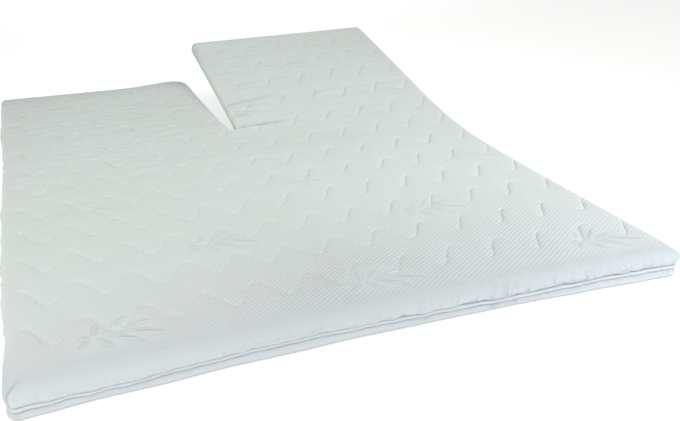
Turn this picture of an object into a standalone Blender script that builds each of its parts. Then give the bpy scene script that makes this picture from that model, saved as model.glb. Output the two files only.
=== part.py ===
"""Split mattress topper: a quilted, filled pad with a slit from its head end, and its zip strip.

Metres, +Z up. X runs across the width and +Y towards the head end. The pad lies flat on Z = 0,
but for the half on the +X side of the slit, whose head end is bent up off the surface.

Every point is worked out first on the pad as it was sewn, flat and square (x, y, height above
the underside), and lie() then puts it where the pad lies.
"""
import math

import bmesh
import bpy
from mathutils import Vector

# The pad as it was sewn, in metres
WIDTH = 1.615
LENGTH = 2.005
THICKNESS = 0.070
CORNER_RADIUS = 0.028

# The slit between the two halves, open at the head end
SLIT_X = 0.016            # its middle
SLIT_WIDTH = 0.022
SLIT_LENGTH = 0.732
SLIT_END_ROUND = 0.006    # how far its end bulges between the two walls
SLIT_SPLAY = 0.004        # how far the -X wall stands back at the head end
SLIT_CORNER_RADIUS = 0.040

# The wavy sewn lines
LINE_COUNT = 12
FIRST_LINE = 0.170        # from the foot edge
LINE_PITCH = 0.156
CHANNEL_DEPTH = 0.005
CHANNEL_HALF = 0.014      # from the line to the full height beside it
WAVE_LENGTH = 0.1308
WAVE_HEIGHT = 0.040       # from the middle of a wave to its top
WAVE_CREST_X = 0.018
COLUMNS_PER_WAVE = 6
CALM_EDGE = 0.020         # the waves start this far from the foot and head edges
CALM_RAMP = 0.110         # and are full this much farther in
CHANNEL_FADE = 0.045      # the channels fade out this close to a side

# The rolled top edge: a quarter ellipse from the top down to the widest point of the side
ROLL_IN = 0.032
ROLL_DOWN = 0.020
ROLL_STEPS = (0.0, 0.007, 0.022)

# The drawn-in foot edge and head edges
FOOT_BOW = 0.027
HEAD_BOW = 0.008
BOW_REACH = 0.60

# The zip strip and the groove that it lies in, by their height over the underside
STRIP_TOP = 0.032
STRIP_TALL = 0.011
STRIP_WANDER = 0.003      # it was sewn a little up and down along its run
WANDER_LENGTH = 0.95
WANDER_SHIFT = 0.2
WANDER_SKEW = 0.8
GROOVE_INSET = 0.0098     # back wall of the groove
STRIP_BACK = 0.0094
STRIP_FACE = 0.0040
STRIP_ROUND = 0.0012
CLEARANCE = 0.0004
STRIP_END = 0.070         # its two ends stop this far short of the slit
WALL_TURN = 0.040         # and over this length the side turns into the slit's plain wall

# The side below its widest point: how far each edge stands in, on the outer sides and on the
# slit's walls, which lean back under the top
SIDE = {
    "upper lip": {"outer": 0.0020, "slit": 0.0035},
    "groove's top": {"outer": GROOVE_INSET, "slit": 0.0050},
    "groove's foot": {"outer": GROOVE_INSET, "slit": 0.0120},
    "lower lip": {"outer": 0.0036, "slit": 0.0130},
    "lower band": {"outer": 0.0030, "slit": 0.0190},
    "underside": {"outer": 0.0080, "slit": 0.0240},
}
UPPER_LIP = 0.0040        # its height over the strip
LOWER_LIP = 0.0014        # its depth under the strip
LOWER_BAND = 0.0065       # height at which the band turns under

# The inner head corner of the -X half, which is pulled out a little and has a soft crown
CORNER_PULL = 0.022
CORNER_CROWN = 0.008
CORNER_REACH = 0.30
CORNER_DROOP = 0.006
DROOP_REACH = 0.12

# The bend of the +X half: columns are the place across that half, the place along the length
# where the bend starts, the length that it takes, and the slope beyond it
BEND = {
    "inner": {"start": 0.123, "length": 0.22, "slope": math.radians(13.6)},
    "outer": {"start": -0.228, "length": 0.63, "slope": math.radians(12.1)},
}
BEND_STEPS = 60
FLARE = 0.045             # how far the bent half's outer side leans out at the head end
FLARE_START = -0.50
LIFT_REACH = 0.35         # how far the lift at the slit's end spreads into the -X half
LIFT_FADE = 0.20          # and how far it runs on towards the head end

FOOT = -LENGTH / 2
HEAD = LENGTH / 2
LEFT = -WIDTH / 2
RIGHT = WIDTH / 2
SLIT_END = HEAD - SLIT_LENGTH
SLIT_LEFT = SLIT_X - SLIT_WIDTH / 2
SLIT_RIGHT = SLIT_X + SLIT_WIDTH / 2
EDGE_GAP = 0.033          # closest that a plain column comes to a side
END_PANEL = 0.12          # the underside's plain panels at the foot and at the head


def smooth(t):
    t = min(max(t, 0.0), 1.0)
    return t * t * (3.0 - 2.0 * t)


def mix(a, b, t):
    return a + (b - a) * t


# ---------------------------------------------------------------- the pad as it was sewn

def edge_distance(x, y):
    return min(x - LEFT, RIGHT - x, y - FOOT, HEAD - y)


def slit_distance(x, y):
    across = max(SLIT_LEFT - x, 0.0, x - SLIT_RIGHT)
    return math.hypot(across, max(SLIT_END - y, 0.0))


def rolled(inset):
    """Height of the top surface this far in from an edge."""
    out = max(ROLL_IN - inset, 0.0) / ROLL_IN
    return THICKNESS - ROLL_DOWN * (1.0 - math.sqrt(max(1.0 - out * out, 0.0)))


def wave(x, y):
    """How far the sewn lines swing towards the head end here."""
    calm = smooth((min(y - FOOT, HEAD - y) - CALM_EDGE) / CALM_RAMP)
    return WAVE_HEIGHT * calm * math.cos(2.0 * math.pi * (x - WAVE_CREST_X) / WAVE_LENGTH)


def top_height(x, y, depth):
    inset = min(edge_distance(x, y), slit_distance(x, y))
    height = rolled(inset) - depth * smooth(inset / CHANNEL_FADE)
    if x < SLIT_X:
        away = math.hypot(x - SLIT_LEFT, y - HEAD)
        height -= CORNER_DROOP * smooth(1.0 - away / DROOP_REACH)
    return height


def rounded(x, y):
    """Move a point of the square plan so that the plan's outer corners are round."""
    corners = (
        (LEFT, 1, FOOT, 1, CORNER_RADIUS),
        (RIGHT, -1, FOOT, 1, CORNER_RADIUS),
        (LEFT, 1, HEAD, -1, CORNER_RADIUS),
        (RIGHT, -1, HEAD, -1, CORNER_RADIUS),
        (SLIT_LEFT, -1, HEAD, -1, SLIT_CORNER_RADIUS),
        (SLIT_RIGHT, 1, HEAD, -1, SLIT_CORNER_RADIUS),
    )
    for side, inward_x, end, inward_y, radius in corners:
        a = 1.0 - (x - side) * inward_x / radius
        b = 1.0 - (y - end) * inward_y / radius
        if 0.0 < a <= 1.0 and 0.0 < b <= 1.0:
            x = side + inward_x * radius * (1.0 - a * math.sqrt(1.0 - b * b / 2.0))
            y = end + inward_y * radius * (1.0 - b * math.sqrt(1.0 - a * a / 2.0))
            break
    return x, y


# ---------------------------------------------------------------- the pad as it lies

def bend(across, y):
    """Place along Y, lift and slope of the top, `across` from 0 at the slit to 1 outside."""
    start = mix(BEND["inner"]["start"], BEND["outer"]["start"], across)
    length = mix(BEND["inner"]["length"], BEND["outer"]["length"], across)
    slope = mix(BEND["inner"]["slope"], BEND["outer"]["slope"], across)
    if y <= start:
        return y, 0.0, 0.0
    step = (y - start) / BEND_STEPS
    along = start
    lift = 0.0
    for i in range(BEND_STEPS):
        angle = slope * smooth((i + 0.5) * step / length)
        along += step * math.cos(angle)
        lift += step * math.sin(angle)
    return along, lift, slope * smooth((y - start) / length)


def lie(x, y, height):
    """Where a point of the sewn pad lies."""
    bow_foot = FOOT_BOW * (1.0 - (x / RIGHT) ** 2) * smooth(1.0 - (y - FOOT) / BOW_REACH)
    middle = (LEFT + SLIT_LEFT) / 2 if x < SLIT_X else (RIGHT + SLIT_RIGHT) / 2
    half = (SLIT_LEFT - LEFT) / 2
    bow_head = HEAD_BOW * (1.0 - ((x - middle) / half) ** 2) * smooth(1.0 - (HEAD - y) / BOW_REACH)
    if x >= SLIT_RIGHT:
        across = (x - SLIT_RIGHT) / (RIGHT - SLIT_RIGHT)
        along, lift, slope = bend(across, y)
        x += across * FLARE * smooth((y - FLARE_START) / (HEAD - FLARE_START))
    else:
        near = smooth(1.0 - (SLIT_LEFT - x) / LIFT_REACH)
        along, lift, slope = bend(0.0, min(y, SLIT_END))
        on = 1.0 - smooth((y - SLIT_END) / LIFT_FADE)
        along = y + (along - min(y, SLIT_END)) * near * on
        lift *= near * on
        slope *= near * on
        x -= SLIT_SPLAY * near * max(y - SLIT_END, 0.0) / SLIT_LENGTH
        to_corner = smooth(1.0 - math.hypot(SLIT_LEFT - x, HEAD - y) / CORNER_REACH)
        along += CORNER_PULL * to_corner
        lift += CORNER_CROWN * to_corner * height / THICKNESS
    below = THICKNESS - height
    return Vector((x,
                   along + bow_foot - bow_head + below * math.sin(slope),
                   THICKNESS + lift - below * math.cos(slope)))


# ---------------------------------------------------------------- rows and columns

def columns():
    left = [LEFT + step for step in ROLL_STEPS]
    right = [RIGHT - step for step in reversed(ROLL_STEPS)]
    to_slit = [SLIT_LEFT - step for step in reversed(ROLL_STEPS)]
    from_slit = [SLIT_RIGHT + step for step in ROLL_STEPS]
    spacing = WAVE_LENGTH / COLUMNS_PER_WAVE
    first = math.ceil((LEFT - WAVE_CREST_X) / spacing)
    last = math.floor((RIGHT - WAVE_CREST_X) / spacing)
    plain = [WAVE_CREST_X + n * spacing for n in range(first, last + 1)]
    plain_left = [x for x in plain if LEFT + EDGE_GAP < x < SLIT_LEFT - EDGE_GAP]
    plain_right = [x for x in plain if SLIT_RIGHT + EDGE_GAP < x < RIGHT - EDGE_GAP]
    return left + plain_left + to_slit + [SLIT_X] + from_slit + plain_right + right


def rows():
    """Each row's place along the length at the middle of its wave, and its channel's depth."""
    found = [(FOOT + step, 0.0) for step in ROLL_STEPS]
    found += [(HEAD - step, 0.0) for step in ROLL_STEPS]
    for line in range(LINE_COUNT):
        y = FOOT + FIRST_LINE + line * LINE_PITCH
        found += [(y - CHANNEL_HALF, 0.0), (y, CHANNEL_DEPTH), (y + CHANNEL_HALF, 0.0)]
    at_slit = SLIT_END - wave(SLIT_X, SLIT_END)
    found += [(at_slit - CHANNEL_HALF, 0.0), (at_slit, 0.0)]
    return sorted(found)


def slit_row(all_rows):
    at_slit = SLIT_END - wave(SLIT_X, SLIT_END)
    return min(range(len(all_rows)), key=lambda j: abs(all_rows[j][0] - at_slit))


def sewn_grid():
    """The top surface's points by row and column, as (x, y, height) on the sewn pad."""
    xs = columns()
    all_rows = rows()
    end_row = slit_row(all_rows)
    middle = xs.index(SLIT_X)
    grid = []
    for j, (base, depth) in enumerate(all_rows):
        points = []
        for i, x in enumerate(xs):
            y = base + wave(x, base)
            height = top_height(x, y, depth)
            if j == end_row and abs(i - middle) <= 1:
                height = rolled(0.0)
                y = SLIT_END - (SLIT_END_ROUND if i == middle else 0.0)
            px, py = rounded(x, y)
            points.append((px, py, height))
        grid.append(points)
    return grid, middle, end_row


def outline(grid, middle, end_row):
    """Row and column of each point round the plan, anticlockwise from the foot's -X corner."""
    last_row = len(grid) - 1
    last_column = len(grid[0]) - 1
    path = [(0, i) for i in range(last_column)]
    path += [(j, last_column) for j in range(last_row)]
    path += [(last_row, i) for i in range(last_column, middle + 1, -1)]
    path += [(j, middle + 1) for j in range(last_row, end_row, -1)]
    path += [(end_row, middle + 1), (end_row, middle)]
    path += [(j, middle - 1) for j in range(end_row, last_row)]
    path += [(last_row, i) for i in range(middle - 1, 0, -1)]
    path += [(j, 0) for j in range(last_row, 0, -1)]
    return path


def inward_normals(plan):
    """The direction in plan from each point of a closed anticlockwise outline into the pad."""
    normals = []
    count = len(plan)
    for k in range(count):
        before = (plan[k] - plan[k - 1]).normalized()
        after = (plan[(k + 1) % count] - plan[k]).normalized()
        along = (before + after).normalized()
        stretch = 1.0 / max(along.dot(after), 0.5)
        normals.append(Vector((-along.y, along.x)) * stretch)
    return normals


def strip_top(x, y):
    run = x + WANDER_SHIFT - WANDER_SKEW * (y - FOOT)
    return STRIP_TOP + STRIP_WANDER * math.cos(2.0 * math.pi * run / WANDER_LENGTH)


def outerness(x, y):
    """1 on the outer sides, 0 on the slit's walls, and in between as the side turns the corner."""
    if y < SLIT_END - STRIP_END:
        return 1.0
    across = abs(x - SLIT_X) - SLIT_WIDTH / 2
    return smooth((across - STRIP_END + WALL_TURN) / WALL_TURN)


def side_rings(x, y):
    """The side from its widest point down to the underside, as (inset, height)."""
    top = strip_top(x, y)
    heights = {
        "upper lip": top + UPPER_LIP,
        "groove's top": top + CLEARANCE,
        "groove's foot": top - STRIP_TALL - CLEARANCE,
        "lower lip": top - STRIP_TALL - LOWER_LIP,
        "lower band": LOWER_BAND,
        "underside": 0.0,
    }
    outer = outerness(x, y)
    return [(mix(SIDE[edge]["slit"], SIDE[edge]["outer"], outer), height)
            for edge, height in heights.items()]


# ---------------------------------------------------------------- the two pieces

def material(name, color, roughness):
    made = bpy.data.materials.new(name)
    made.use_nodes = True
    shader = made.node_tree.nodes["Principled BSDF"]
    shader.inputs["Base Color"].default_value = color
    shader.inputs["Roughness"].default_value = roughness
    shader.inputs["Metallic"].default_value = 0.0
    return made


def add_piece(name, bm, finish):
    bmesh.ops.triangulate(bm, faces=bm.faces[:])
    bmesh.ops.recalc_face_normals(bm, faces=bm.faces[:])
    mesh = bpy.data.meshes.new(name)
    bm.to_mesh(mesh)
    bm.free()
    mesh.materials.append(finish)
    mesh.shade_smooth()
    piece = bpy.data.objects.new(name, mesh)
    bpy.context.scene.collection.objects.link(piece)
    return piece


def stitch(bm, one, other):
    """Fill between two open rows of points with triangles, from their first points to their last."""
    i = k = 0
    while i < len(one) - 1 or k < len(other) - 1:
        step_one = (one[i + 1].co - other[k].co).length if i < len(one) - 1 else math.inf
        step_other = (one[i].co - other[k + 1].co).length if k < len(other) - 1 else math.inf
        if step_one <= step_other:
            bm.faces.new((one[i], one[i + 1], other[k]))
            i += 1
        else:
            bm.faces.new((one[i], other[k + 1], other[k]))
            k += 1


def quilted_pad(finish):
    grid, middle, end_row = sewn_grid()
    path = outline(grid, middle, end_row)
    bm = bmesh.new()

    # the top, left open over the slit
    in_slit = {(j, middle) for j in range(end_row + 1, len(grid))}
    top = {}
    for j, points in enumerate(grid):
        for i, point in enumerate(points):
            if (j, i) not in in_slit:
                top[j, i] = bm.verts.new(lie(*point))
    for j in range(len(grid) - 1):
        for i in range(len(grid[0]) - 1):
            if j >= end_row and i in (middle - 1, middle):
                continue
            bm.faces.new((top[j, i], top[j, i + 1], top[j + 1, i + 1], top[j + 1, i]))

    # the sides, ring by ring
    plan = [Vector(grid[j][i][:2]) for j, i in path]
    normals = inward_normals(plan)
    upper = [top[key] for key in path]
    for ring in range(len(SIDE)):
        lower = []
        for spot, normal in zip(plan, normals):
            inset, height = side_rings(*spot)[ring]
            moved = spot + normal * inset
            lower.append(bm.verts.new(lie(moved.x, moved.y, height)))
        for k in range(len(path)):
            bm.faces.new((upper[k], lower[k], lower[k - 1], upper[k - 1]))
        upper = lower

    # the underside: a few inner points on each row, between the lowest ring's
    ring = {key: vert for key, vert in zip(path, upper)}
    quarter = {"left": LEFT / 2, "right": RIGHT / 2}
    last_row = len(grid) - 1
    last_column = len(grid[0]) - 1
    bases = [base for base, _ in rows()]
    first_inner = min(j for j in range(last_row) if bases[j] > FOOT + END_PANEL)
    last_inner = max(j for j in range(last_row) if bases[j] < HEAD - END_PANEL)
    inner = {}
    for j in range(first_inner, last_inner + 1):
        y = bases[j]
        for side, x in quarter.items():
            inner[j, side] = bm.verts.new(lie(x, y, 0.0))
        if j < end_row:
            before_slit = min(grid[j][middle][1], SLIT_END - 2 * SIDE["underside"]["slit"])
            inner[j, "middle"] = bm.verts.new(lie(SLIT_X, before_slit, 0.0))

    def left_half(j):
        inside = ring[j, middle - 1] if j >= end_row else inner[j, "middle"]
        return [ring[j, 0], inner[j, "left"], inside]

    def right_half(j):
        inside = ring[j, middle + 1] if j >= end_row else inner[j, "middle"]
        return [inside, inner[j, "right"], ring[j, last_column]]

    for j in range(first_inner, last_inner):
        for half in (left_half, right_half):
            near = half(j)
            far = half(j + 1)
            for k in range(2):
                bm.faces.new((near[k], far[k], far[k + 1], near[k + 1]))
    before_end = inner[end_row - 1, "middle"]
    bm.faces.new((before_end, ring[end_row, middle - 1], ring[end_row, middle]))
    bm.faces.new((before_end, ring[end_row, middle], ring[end_row, middle + 1]))

    # and a panel at each end, out to the lowest ring
    foot = [ring[j, 0] for j in range(first_inner - 1, 0, -1)]
    foot += [ring[0, i] for i in range(last_column + 1)]
    foot += [ring[j, last_column] for j in range(1, first_inner)]
    stitch(bm, foot, left_half(first_inner) + right_half(first_inner)[1:])
    for half, first, last in ((left_half, 0, middle - 1), (right_half, middle + 1, last_column)):
        head = [ring[j, first] for j in range(last_inner + 1, last_row)]
        head += [ring[last_row, i] for i in range(first, last + 1)]
        head += [ring[j, last] for j in range(last_row - 1, last_inner, -1)]
        stitch(bm, half(last_inner), head)
    return add_piece("quilted_pad", bm, finish)


def zip_strip(finish):
    """A band of cloth over the zip, closed round its section, with an end on each side of the slit."""
    grid, middle, end_row = sewn_grid()
    path = outline(grid, middle, end_row)
    plan = [Vector(grid[j][i][:2]) for j, i in path]
    normals = inward_normals(plan)
    # start from the point after the slit, so that the run is unbroken
    start = max(k for k in range(len(path)) if outerness(*plan[k]) < 1.0) + 1
    order = [(start + k) % len(path) for k in range(len(path))]
    order = [k for k in order if outerness(*plan[k]) == 1.0]
    bm = bmesh.new()
    sections = []
    for k in order:
        spot = plan[k]
        high = strip_top(*spot)
        low = high - STRIP_TALL
        section = (
            (STRIP_BACK, high),
            (STRIP_FACE + STRIP_ROUND, high - STRIP_ROUND / 2),
            (STRIP_FACE, high - 2 * STRIP_ROUND),
            (STRIP_FACE, low + 2 * STRIP_ROUND),
            (STRIP_FACE + STRIP_ROUND, low + STRIP_ROUND / 2),
            (STRIP_BACK, low),
        )
        points = []
        for inset, height in section:
            moved = spot + normals[k] * inset
            points.append(bm.verts.new(lie(moved.x, moved.y, height)))
        sections.append(points)
    for near, far in zip(sections, sections[1:]):
        for k in range(len(near)):
            bm.faces.new((near[k - 1], near[k], far[k], far[k - 1]))
    bm.faces.new(sections[0])
    bm.faces.new(sections[-1][::-1])
    return add_piece("zip_strip", bm, finish)


for old in list(bpy.data.objects):
    bpy.data.objects.remove(old, do_unlink=True)

pieces = [
    quilted_pad(material("white quilted jersey", (0.72, 0.78, 0.76, 1.0), 0.85)),
    zip_strip(material("white strip cloth", (0.76, 0.81, 0.79, 1.0), 0.75)),
]

# the origin is the middle of the footprint
every = [vertex.co for piece in pieces for vertex in piece.data.vertices]
centre_x = (min(co.x for co in every) + max(co.x for co in every)) / 2
centre_y = (min(co.y for co in every) + max(co.y for co in every)) / 2
for piece in pieces:
    for vertex in piece.data.vertices:
        vertex.co.x -= centre_x
        vertex.co.y -= centre_y
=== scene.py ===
"""Split mattress topper in its quilted cover, with its zip strip, on a pale studio floor."""
import math

import bmesh
import bpy
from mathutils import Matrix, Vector, noise


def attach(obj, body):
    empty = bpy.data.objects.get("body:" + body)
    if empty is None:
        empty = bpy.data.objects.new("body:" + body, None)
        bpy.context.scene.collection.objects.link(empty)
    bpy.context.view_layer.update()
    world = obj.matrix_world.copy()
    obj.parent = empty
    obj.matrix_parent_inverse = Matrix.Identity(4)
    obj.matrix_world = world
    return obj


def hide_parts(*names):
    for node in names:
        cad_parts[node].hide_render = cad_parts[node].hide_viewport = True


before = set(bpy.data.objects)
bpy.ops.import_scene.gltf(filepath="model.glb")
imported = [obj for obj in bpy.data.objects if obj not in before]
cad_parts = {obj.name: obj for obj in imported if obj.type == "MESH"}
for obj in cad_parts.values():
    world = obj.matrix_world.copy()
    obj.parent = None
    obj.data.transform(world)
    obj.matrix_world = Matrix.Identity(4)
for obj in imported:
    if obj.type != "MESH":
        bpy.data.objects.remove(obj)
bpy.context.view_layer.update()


# ---- Quilted cover: its shape --------------------------------------------------------------
# A white jersey cover, quilted to wadding in wavy lines and zipped round a split foam core. The
# top panel rolls over the edges down to the zip's groove, and the lower band and the underside
# are sewn on below it. It is worked out flat, as sewn (x, y, height), and laid down at the end.

# the plan as it is cut, in metres from its middle, with the foot at the front and the head behind
WIDTH = 1.615
LENGTH = 2.005
THICKNESS = 0.070
CORNER_RADIUS = 0.028
MIDDLE = Vector((0.02235, 0.01005, 0.0))     # of the footprint, which is the origin

SLIT_X = 0.016
SLIT_WIDTH = 0.022
SLIT_LENGTH = 0.732
SLIT_END_ROUND = 0.006
SLIT_SPLAY = 0.004                           # how far the flat half leans away from it at the head
SLIT_CORNER_RADIUS = 0.040

LINE_COUNT = 12
FIRST_LINE = 0.170                           # from the foot
LINE_PITCH = 0.156
WAVE_LENGTH = 0.1308
WAVE_HEIGHT = 0.040                          # from the middle of a wave to its crest
WAVE_CREST_X = 0.018
CALM_EDGE = 0.020                            # rows are straight up to here from the foot or head,
CALM_RAMP = 0.110                            # and wave fully after this much more
FADE = 0.045                                 # the sewn lines sink less this close to an edge

SEAM_DEEP = 0.0032                           # how far a sewn line pulls the cloth down
SEAM_REACH = 0.0038
SEAM_UNEVEN = {"share": 0.30, "per_metre": 16.0, "seed": 7.3}
FOOT_LINE_START = 0.040                      # from the foot, where the line in the roll comes up
FANNED = 0.70                                # how much deeper the waves' runs across the pull are
PUFF = 0.0022                                # how far the wadding swells between the lines
PUFF_REACH = 0.034
LUMPS = (
    {"high": 0.0013, "per_metre": 2.7, "seed": 1.3, "calm": 0.10},
    {"high": 0.0006, "per_metre": 11.0, "seed": 4.1, "calm": 0.03},
)

# where the mesh has its columns and rows: in from an edge, and away from a sewn line
COLUMNS_PER_WAVE = 20
ROLL_STEPS = (0.0, 0.0015, 0.004, 0.008, 0.0135, 0.0205, 0.0285)
SEAM_STEPS = (0.0, 0.002, 0.0045, 0.008, 0.013, 0.020, 0.030, 0.042, 0.055, 0.067, 0.078)
ROW_GAP = 0.013                              # rows never lie further apart than this,
ROWS_CLEAR = 0.0014                          # nor closer than this
CREASE_ROW_GAP = 0.005
CREASE_NEAR = 0.052

ROLL_IN = 0.032                              # how far in the edge starts to roll over,
ROLL_DOWN = 0.020                            # and how far down it goes
FOOT_BOW = 0.027                             # the ends are drawn in by this at their middles
HEAD_BOW = 0.008
BOW_REACH = 0.60
RIBS_FROM_FOOT = {"start": 0.024, "ramp": 0.045}
RIBS_FROM_SIDE = {"start": 0.004, "ramp": 0.024}

# the strip's height wanders along the side, and it ends short of the slit
STRIP_TOP = 0.032
STRIP_TALL = 0.011
STRIP_WANDER = 0.003
WANDER_LENGTH = 0.95
WANDER_SHIFT = 0.2
WANDER_SKEW = 0.8
STRIP_END = 0.070
WALL_TURN = 0.040

SIDE_REACH = 0.10                            # a side that is moved takes this much of the top along
LEFT_WAVER = {"deep": 0.0015, "per_metre": 5.0, "seed": 2.0}
LEFT_OUT = {"out": 0.0006, "reach": 0.30}    # the left side lies out a hair, but for two hollows
LEFT_HOLLOWS = (
    {"at": 0.25, "deep": 0.0065, "half": 0.220},
    {"at": -0.78, "deep": 0.0068, "half": 0.085},
)
RIGHT_OUT = {"out": 0.007, "reach": 0.08}    # the right side bulges, most of all past its middle
RIGHT_SWELL = {"at": 0.15, "out": 0.005, "half": 0.28}

# the flat half's corner beside the slit is pulled towards the head, crowned, and droops at its tip
CORNER_PULL = 0.022
CORNER_CROWN = 0.008
CORNER_REACH = 0.30
CORNER_DROOP = 0.006
DROOP_REACH = 0.12

# the bend of the raised half, beside the slit and at the outer side: where along Y it starts, over
# what length it turns, and how steep it ends. It flares out a little towards its head end, and
# lifts the flat half's side of the slit where the slit ends
BEND = {
    "inner": {"start": 0.123, "length": 0.22, "slope": math.radians(13.6)},
    "outer": {"start": -0.228, "length": 0.63, "slope": math.radians(12.1)},
}
BEND_STEPS = 24
FLARE = 0.045
FLARE_START = -0.50
LIFT_REACH = 0.35
LIFT_FADE = 0.20

# creases that run from the slit into the bent half, each with a soft roll on its foot side
CREASES = (
    {"from": (0.024, 0.262), "to": (0.262, 0.258), "bow": 0.006, "deep": 0.0066, "half": 0.0080},
    {"from": (0.040, 0.428), "to": (0.270, 0.450), "bow": 0.008, "deep": 0.0026, "half": 0.0130},
    {"from": (0.034, 0.342), "to": (0.150, 0.348), "bow": 0.004, "deep": 0.0016, "half": 0.0100},
)
CREASE_START = 0.05                          # a crease starts this share of its run early

# the tuck of slack cloth at the left foot corner
TUCK_DEEP = 0.0034
TUCK_HALF = 0.0028
TUCK_REACH = 0.050

# where the cloth is darkened with painted shade: at every head edge, on the flat half's head end
# and its corner by the slit, and on the bent half's edge along the slit
PAINTED_SHADE_PLACES = {
    "head edge": {"strong": 0.50, "reach": 0.040},
    "flat head": {"strong": 0.28, "reach": 0.18},
    "flat corner": {"strong": 0.70, "reach": 0.17},
    "bent edge": {"strong": 0.45, "reach": 0.03, "along": 0.25},
}

# the side, from the roll down: its height over the strip's top or over the surface that it lies
# on, how far in it stands on the outer sides and on the slit's plain walls, and how much the
# zip's seam puckers it
SIDE = (
    {"over": "strip", "height": 0.0125, "outer": 0.0002, "slit": 0.0008, "pinch": 0.7},
    {"over": "strip", "height": 0.0082, "outer": 0.0008, "slit": 0.0018, "pinch": 0.9},
    {"over": "strip", "height": 0.0050, "outer": 0.0020, "slit": 0.0030, "pinch": 1.0},
    {"over": "strip", "height": 0.0027, "outer": 0.0040, "slit": 0.0038, "pinch": 1.0},
    {"over": "strip", "height": 0.0011, "outer": 0.0068, "slit": 0.0046, "pinch": 0.6},
    {"over": "strip", "height": 0.0004, "outer": 0.0098, "slit": 0.0052, "pinch": 0.0},
    {"over": "strip", "height": -0.0114, "outer": 0.0098, "slit": 0.0120, "pinch": 0.0},
    {"over": "strip", "height": -0.0121, "outer": 0.0070, "slit": 0.0124, "pinch": 0.5},
    {"over": "strip", "height": -0.0136, "outer": 0.0046, "slit": 0.0130, "pinch": 0.5},
    {"over": "strip", "height": -0.0160, "outer": 0.0031, "slit": 0.0142, "pinch": 0.3},
    {"over": "surface", "height": 0.0108, "outer": 0.0025, "slit": 0.0166, "pinch": 0.0},
    {"over": "surface", "height": 0.0062, "outer": 0.0031, "slit": 0.0192, "pinch": 0.0},
    {"over": "surface", "height": 0.0024, "outer": 0.0052, "slit": 0.0216, "pinch": 0.0},
    {"over": "surface", "height": 0.0000, "outer": 0.0092, "slit": 0.0240, "pinch": 0.0},
    {"over": "surface", "height": 0.0000, "outer": 0.0150, "slit": 0.0300, "pinch": 0.0},
)
GROOVE_BACK = 0.009                          # a ring further in than this is at the groove's back
UNDER_TURN = 0.012                           # and one further in than this is under the band
CONTACT_SHADOW_TALL = 0.0062                            # the band's foot, darkened with a painted contact shadow
SHADE_DOWN = 0.016                            # how far over the strip the top's painted shade ends

# how unevenly the side is sewn: the zip's seam rises and falls, the roll's lower edge gapes and
# bulges over it, and the band sags
UNEVEN = {
    "rise": ({"high": 0.0042, "per_metre": 8.0, "seed": 3.0},
             {"high": 0.0034, "per_metre": 27.0, "seed": 8.0}),
    "gape": ({"high": 0.0026, "per_metre": 6.0, "seed": 14.0},),
    "bulge": ({"high": 0.0044, "per_metre": 12.0, "seed": 21.0},
              {"high": 0.0036, "per_metre": 37.0, "seed": 27.0}),
    "sag": ({"high": 0.0030, "per_metre": 7.0, "seed": 33.0},),
}
GAPE_RIGHT = 0.0010                          # it gapes a little more towards the right,
BULGE_LEFT = 0.0032                          # bulges more towards the left,
CORNER_TIGHT = 0.0012                        # and is drawn in at the plan's corners
CORNER_CALM = 0.12
TOP_PINCH = {"strong": 0.5, "reach": 0.016}  # the seam's puckers reach up onto the top's edge

FOOT = -LENGTH / 2
HEAD = LENGTH / 2
LEFT = -WIDTH / 2
RIGHT = WIDTH / 2
SLIT_END = HEAD - SLIT_LENGTH
SLIT_LEFT = SLIT_X - SLIT_WIDTH / 2
SLIT_RIGHT = SLIT_X + SLIT_WIDTH / 2


def smooth(t):
    """0 up to t = 0, 1 from t = 1, and a soft step between."""
    t = min(max(t, 0.0), 1.0)
    return t * t * (3.0 - 2.0 * t)


def mix(a, b, t):
    """From a at t = 0 to b at t = 1."""
    return a + (b - a) * t


def to_edge(x, y):
    """Distance of a place of the plan from the nearest outer side."""
    return min(x - LEFT, RIGHT - x, y - FOOT, HEAD - y)


def to_slit(x, y):
    """Distance of a place of the plan from the slit."""
    return math.hypot(max(SLIT_LEFT - x, 0.0, x - SLIT_RIGHT), max(SLIT_END - y, 0.0))


def rolled(inset):
    """Height of the plain top, which rolls over towards an edge."""
    out = max(ROLL_IN - inset, 0.0) / ROLL_IN
    return THICKNESS - ROLL_DOWN * (1.0 - math.sqrt(max(1.0 - out * out, 0.0)))


def swing(x):
    """The wave of the sewn lines, from -1 to 1."""
    return math.cos(2.0 * math.pi * (x - WAVE_CREST_X) / WAVE_LENGTH)


def wave(x, base):
    """How far a row's wave moves it along Y; the rows calm down towards the foot and the head."""
    calm = smooth((min(base - FOOT, HEAD - base) - CALM_EDGE) / CALM_RAMP)
    return WAVE_HEIGHT * calm * swing(x)


def line_place(x, line):
    """Where a sewn line runs; line -1 runs in the rolled foot edge, and only its crests come up."""
    base = FOOT + FIRST_LINE + line * LINE_PITCH
    return base + (WAVE_HEIGHT * swing(x) if line < 0 else wave(x, base))


def off_line(x, y, line):
    """Distance from a sewn line, square to it: plus on its head side."""
    steep = WAVE_HEIGHT * 2.0 * math.pi / WAVE_LENGTH
    steep *= math.sin(2.0 * math.pi * (x - WAVE_CREST_X) / WAVE_LENGTH)
    return (y - line_place(x, line)) / math.hypot(1.0, steep)


def nearest_line(x, y, base):
    """The sewn line nearest to a place whose row starts at `base`."""
    line = round((base - FOOT - FIRST_LINE) / LINE_PITCH)
    line = min(max(line, 0), LINE_COUNT - 1)
    if line == 0 and abs(off_line(x, y, -1)) < abs(off_line(x, y, 0)):
        line = -1
    return line


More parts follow.
